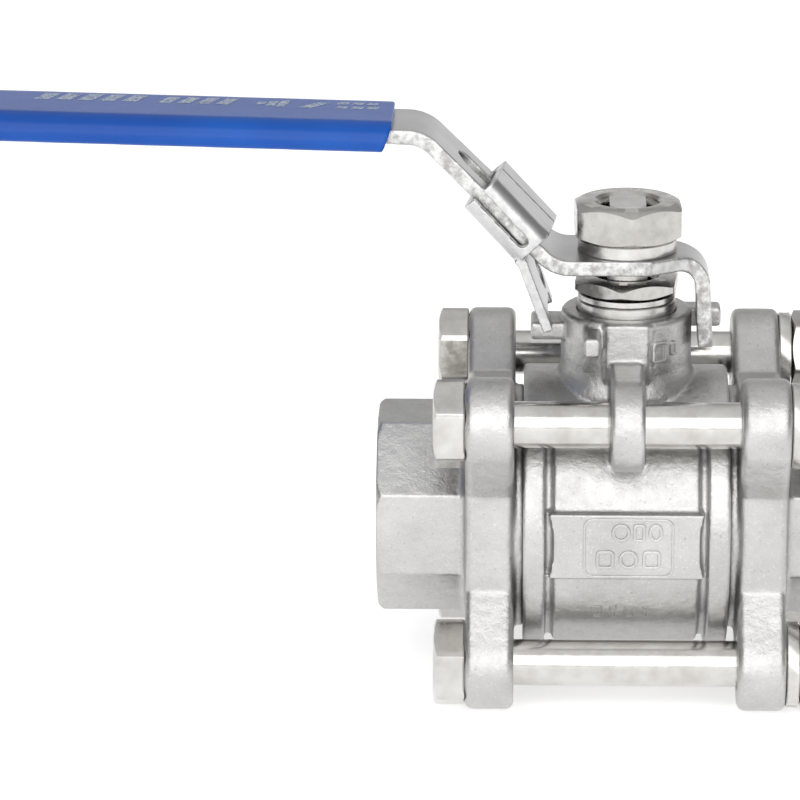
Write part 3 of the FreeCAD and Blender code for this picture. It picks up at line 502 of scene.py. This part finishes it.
def chamfer_rows(flats, low, high, face):
    """Rows of a hexagon's outside whose corners are turned off by a 30 degree cone at both ends."""
    corner = hexagon(flats)
    slope = math.tan(math.radians(30))

    def lower(angle):
        return low + max(0.0, corner(angle) - face) * slope

    def upper(angle):
        return high - max(0.0, corner(angle) - face) * slope

    def half_way(angle):
        return 0.5 * (face + corner(angle))

    return [(low, face - FACE_STEP), (lambda a: low + 0.5 * (lower(a) - low), half_way),
            (lower, corner), (lambda a: lower(a) + EDGE_STEP, corner),
            (lambda a: upper(a) - EDGE_STEP, corner), (upper, corner),
            (lambda a: high + 0.5 * (upper(a) - high), half_way), (high, face - FACE_STEP)]


def placed(mesh, at, turn):
    mesh.transform(Matrix.Translation(at) @ turn)
    return mesh


def spin(axis_turn, degrees):
    return axis_turn @ Matrix.Rotation(math.radians(degrees), 4, "Z")


ALONG_X = Matrix.Rotation(math.radians(90), 4, "Y")
ALONG_MINUS_X = Matrix.Rotation(math.radians(-90), 4, "Y")
UPRIGHT = Matrix.Identity(4)


NUT_FACE, COUNTERSINK, NUT_SEGMENTS = 0.945, 0.45, 96


def add_nut(node, flats, bore, pitch, turn, at, height, material=None):
    """Hexagon nut with a countersunk threaded bore, from its lower face upwards."""
    rows = chamfer_rows(flats, 0, height, flats / 2 * NUT_FACE)
    rows += [(height, bore + COUNTERSINK), (height - COUNTERSINK, bore)]
    rows += list(reversed(thread(bore, 0.5 * pitch, pitch, COUNTERSINK, height - COUNTERSINK)))
    rows += [(COUNTERSINK, bore), (0, bore + COUNTERSINK)]
    mesh = placed(turned(node + "_turned", rows, NUT_SEGMENTS, closed=True), at, turn)
    return add_piece(node + "_made", mesh, node, material=material, replaces=(node,))


def add_washer(node, inner, outer, height, at, turn):
    """Split spring washer: a rounded section swept round, with a slanted saw cut."""
    edge, gap, slant, steps = 0.18, 0.05, 0.35, 64
    section = [(inner + edge, 0), (outer - edge, 0), (outer, edge), (outer, height - edge),
               (outer - edge, height), (inner + edge, height), (inner, height - edge), (inner, edge)]
    points = []
    for k in range(steps + 1):
        for r, z in section:
            angle = gap + (math.tau - 2 * gap) * k / steps + slant * (z / height - 0.5)
            points.append((r * math.cos(angle) * MM, r * math.sin(angle) * MM, z * MM))
    size = len(section)
    faces = [(k * size + j, k * size + (j + 1) % size, (k + 1) * size + (j + 1) % size, (k + 1) * size + j)
             for k in range(steps) for j in range(size)]
    faces += [tuple(reversed(range(size))), tuple(steps * size + j for j in range(size))]
    mesh = bpy.data.meshes.new(node + "_ring")
    mesh.from_pydata(points, [], faces)
    placed(smooth_shaded(mesh, RING_ANGLE), at, turn)
    return add_piece(node + "_made", mesh, node, replaces=(node,))


# ---------------------------------------------------------------- body bolts
HEAD_FLATS, HEAD_HEIGHT, HEAD_FACE, NUT_HEIGHT, WASHER_HEIGHT = 13.0, 5.0, 0.965, 6.5, 2.0
SHANK, BOLT_PITCH, THREAD_LENGTH = 3.7, 1.25, 14.0
SPINS = {"front_upper": (0, 7), "front_lower": (3, 53), "back_upper": (-8, 36), "back_lower": (14, 26)}


def add_bolt(place, head_spin, nut_spin):
    node = "bolt_" + place
    low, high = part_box(node)
    axis = (low + high) / 2
    length = (high.x - low.x) / MM
    rows = [(0, 0)] + chamfer_rows(HEAD_FLATS, 0, HEAD_HEIGHT, HEAD_FLATS / 2 * HEAD_FACE)[:4]
    corner = hexagon(HEAD_FLATS)
    rows += [(HEAD_HEIGHT - 0.25, corner), (HEAD_HEIGHT, lambda a: corner(a) - 0.2),
             (HEAD_HEIGHT, SHANK + 0.5), (HEAD_HEIGHT + 0.15, SHANK + 0.12), (HEAD_HEIGHT + 0.5, SHANK),
             (length - THREAD_LENGTH - 0.8, SHANK)]
    rows += thread(SHANK, 0.55, BOLT_PITCH, length - THREAD_LENGTH, length - 0.7)
    rows += [(length, SHANK - 0.7), (length, 0)]
    mesh = turned(node + "_turned", rows, 96)
    placed(mesh, Vector((low.x, axis.y, axis.z)), spin(ALONG_X, head_spin))
    add_piece(node + "_made", mesh, node, replaces=(node,))

    washer = "bolt_washer_" + place
    start = Vector((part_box(washer)[0].x, axis.y, axis.z))
    add_washer(washer, SHANK + 0.2, 6.9, WASHER_HEIGHT, start, spin(ALONG_X, 40 + nut_spin))
    nut = "bolt_nut_" + place
    start = Vector((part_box(nut)[0].x, axis.y, axis.z))
    add_nut(nut, HEAD_FLATS, SHANK, BOLT_PITCH, spin(ALONG_X, nut_spin), start, NUT_HEIGHT)


for place, (head_spin, nut_spin) in SPINS.items():
    add_bolt(place, head_spin, nut_spin)

# ---------------------------------------------------------------- nuts and washer on the stem
STEM_BORE, STEM_PITCH = 5.0, 1.5


def height_of(node):
    low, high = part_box(node)
    return (high.z - low.z) / MM


def stem_foot(node):
    return Vector((BALL.x, BALL.y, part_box(node)[0].z))


# The two stem nuts get the darker steel, whose darkness is painted shade.
SHADED_NUT_STEEL = shaded_nut_steel()
for node, flats, angle in (("gland_nut", 16.0, 23.5), ("lever_nut", 16.7, 33.5)):
    add_nut(node, flats, STEM_BORE, STEM_PITCH, spin(UPRIGHT, angle), stem_foot(node), height_of(node),
            SHADED_NUT_STEEL)
add_washer("lever_washer", STEM_BORE + 0.1, 8.0, height_of("lever_washer"), stem_foot("lever_washer"),
           spin(UPRIGHT, 150))

# ---------------------------------------------------------------- castings, sheet parts and sleeve
recast("body_housing", 0.30, 3, skin=0.02, keep=0.54)
recast("inlet_cap", 0.30, 3, skin=0.02, keep=0.7)
recast("outlet_cap", 0.30, 3, skin=0.02, keep=0.7)
recast("lever", 0.28, 2, keep=0.75)
recast("lock_slide", 0.20, 2, keep=0.75, material=sheet_steel("lock_steel", 0.3))
sleeve_skin = recast("grip_sleeve", 0.35, 6, keep=0.6)

# ---------------------------------------------------------------- port threads
PORT_RADIUS, PORT_PITCH, PORT_LENGTH = 13.22, 1.814, 15.2


def add_port_thread(name, node, at, turn):
    rows = [(0.25, PORT_RADIUS + 0.1), (0.25, PORT_RADIUS - 0.01)]
    rows += thread(PORT_RADIUS - 0.01, 1.1, PORT_PITCH, 0.3, PORT_LENGTH)
    rows += [(PORT_LENGTH + 0.05, PORT_RADIUS - 0.01), (PORT_LENGTH + 0.05, PORT_RADIUS + 0.1)]
    mesh = placed(turned(name, rows, 128, closed=True), at, turn)
    add_piece(name, mesh, node, slot="turned_steel")


add_port_thread("inlet_thread", "inlet_cap", Vector((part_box("inlet_cap")[0].x, 0, 0)), ALONG_X)
add_port_thread("outlet_thread", "outlet_cap", Vector((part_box("outlet_cap")[1].x, 0, 0)), ALONG_MINUS_X)


# ---------------------------------------------------------------- raised marks on the castings
PLATE_FACE, BOSS_RADIUS, BARREL_RADIUS = 22.5, 10.5, 22.0
ELLIPSE_POINTS, CORNER_STEPS = 32, 6


def bead(name, outlines, width, height, place):
    """Raised beads along closed outlines; place maps (across, up, out) in mm to the row frame."""
    points, faces = [], []
    for outline in outlines:
        count, base = len(outline), len(points)
        for k, (x, y) in enumerate(outline):
            before, after = outline[k - 1], outline[(k + 1) % count]
            along = Vector((after[0] - before[0], after[1] - before[1])).normalized()
            side = Vector((-along.y, along.x))
            for offset, lift in ((-0.5, -0.3), (-0.36, 0.75), (0, 1), (0.36, 0.75), (0.5, -0.3)):
                points.append(place(x + side.x * offset * width, y + side.y * offset * width, lift * height))
        for k in range(count):
            here, there = base + k * 5, base + (k + 1) % count * 5
            faces += [(here + j, there + j, there + (j + 1) % 5, here + (j + 1) % 5) for j in range(5)]
    mesh = bpy.data.meshes.new(name)
    mesh.from_pydata(points, [], faces)
    return smooth_shaded(mesh, BEAD_ANGLE)


def ellipse(x, y, rx, ry):
    angles = [math.tau * k / ELLIPSE_POINTS for k in range(ELLIPSE_POINTS)]
    return [(x + rx * math.cos(a), y + ry * math.sin(a)) for a in angles]


def rounded_box(x, y, half_x, half_y, corner):
    outline = []
    for k, (sx, sy) in enumerate(((1, 1), (-1, 1), (-1, -1), (1, -1))):
        for i in range(CORNER_STEPS + 1):
            angle = math.radians(90 * k + 90 * i / CORNER_STEPS)
            outline.append((x + sx * (half_x - corner) + corner * math.cos(angle),
                            y + sy * (half_y - corner) + corner * math.sin(angle)))
    return outline


def on_plate(across, up, out):
    return BALL + Vector((across, -PLATE_FACE - out, up)) * MM


def on_boss(across, up, out):
    angle, radius = across / BOSS_RADIUS, BOSS_RADIUS + out
    return BALL + Vector((radius * math.sin(angle), -radius * math.cos(angle), up)) * MM


def on_barrel(across, up, out):
    radius = BARREL_RADIUS + out
    return BALL + Vector((across, -radius * math.cos(math.asin(up / radius)), up)) * MM


frame_outline = rounded_box(0.3, 0.45, 7.0, 4.75, 1.4)
plate_marks = [ellipse(-0.9, 3.0, 1.25, 1.25), rounded_box(2.0, 3.0, 0.75, 1.25, 0.4),
               ellipse(4.6, 3.0, 0.9, 1.25), rounded_box(-3.4, -1.5, 1.2, 1.3, 0.5),
               ellipse(0.3, -1.5, 1.3, 1.3), rounded_box(4.0, -1.5, 1.2, 1.3, 0.5)]
add_piece("plate_frame", bead("plate_frame", [frame_outline], 0.45, 0.28, on_plate), "body_housing")
add_piece("plate_marks", bead("plate_marks", plate_marks, 0.6, 0.38, on_plate), "body_housing")
boss_marks = [rounded_box(5.45, 28.9, 1.1, 1.5, 0.3), rounded_box(8.0, 29.2, 0.35, 0.9, 0.2)]
add_piece("boss_marks", bead("boss_marks", boss_marks, 0.75, 0.45, on_boss), "body_housing")
BATCH_PLACES = ((-4.6, 0.7), (-2.0, 0.45), (0.6, 0.7), (3.2, 0.3))
batch_marks = [rounded_box(x, -11.6, half, 1.05, 0.3) for x, half in BATCH_PLACES]
add_piece("batch_marks", bead("batch_marks", batch_marks, 0.28, 0.10, on_barrel), "body_housing")


# ---------------------------------------------------------------- printed dashes on the sleeve
INK = 0.02 * MM


def add_print(sleeve):
    """Plain dashes in faded silver ink, laid on the top of the sleeve."""
    skin = BVHTree.FromPolygons([v.co for v in sleeve.data.vertices],
                                [p.vertices for p in sleeve.data.polygons])
    points, faces = [], []

    def dash(x, y, half_x, half_y, lean=0.0):
        base = len(points)
        for sx, sy in ((-1, -1), (1, -1), (1, 1), (-1, 1)):
            spot = BALL + Vector((x + sx * half_x + lean * sy * half_y, y + sy * half_y, 100)) * MM
            points.append(skin.ray_cast(spot, Vector((0, 0, -1)))[0] + Vector((0, 0, INK)))
        faces.append((base, base + 1, base + 2, base + 3))

    for k in range(5):
        dash(-93.0 + 3.5 * k, 3.6, 1.2, 2.2, 0.4)
    for k in range(4):
        dash(-73.4 + 3.1 * k, 3.4, 1.0, 2.1, 0.4)
    for k in range(3):
        dash(-58.6 + 1.7 * k, 3.0, 0.7, 0.9 + 0.7 * k, 0.2)
    dash(-50.2, 2.6, 1.1, 1.9, 0.8)
    for y in (1.6, 4.4):
        for k in range(3):
            dash(-45.6 + 2.4 * k, y, 0.9, 0.8, 0.3)
    mesh = bpy.data.meshes.new("sleeve_print")
    mesh.from_pydata(points, [], faces)
    add_piece("sleeve_print", mesh, "grip_sleeve", material=silver_ink())


add_print(sleeve_skin)

# ---------------------------------------------------------------- finish of the CAD pieces that stay
for node, piece in NODES.items():
    piece.data.materials.clear()
    piece.data.materials.append(MATERIALS[SLOT_OF[node]])

add_world()
add_floor()
softbox("key_softbox", -6, 31, 1.1, (1.7, 1.0), 8.0)
add_camera()
bpy.context.scene.view_settings.view_transform = "Standard"
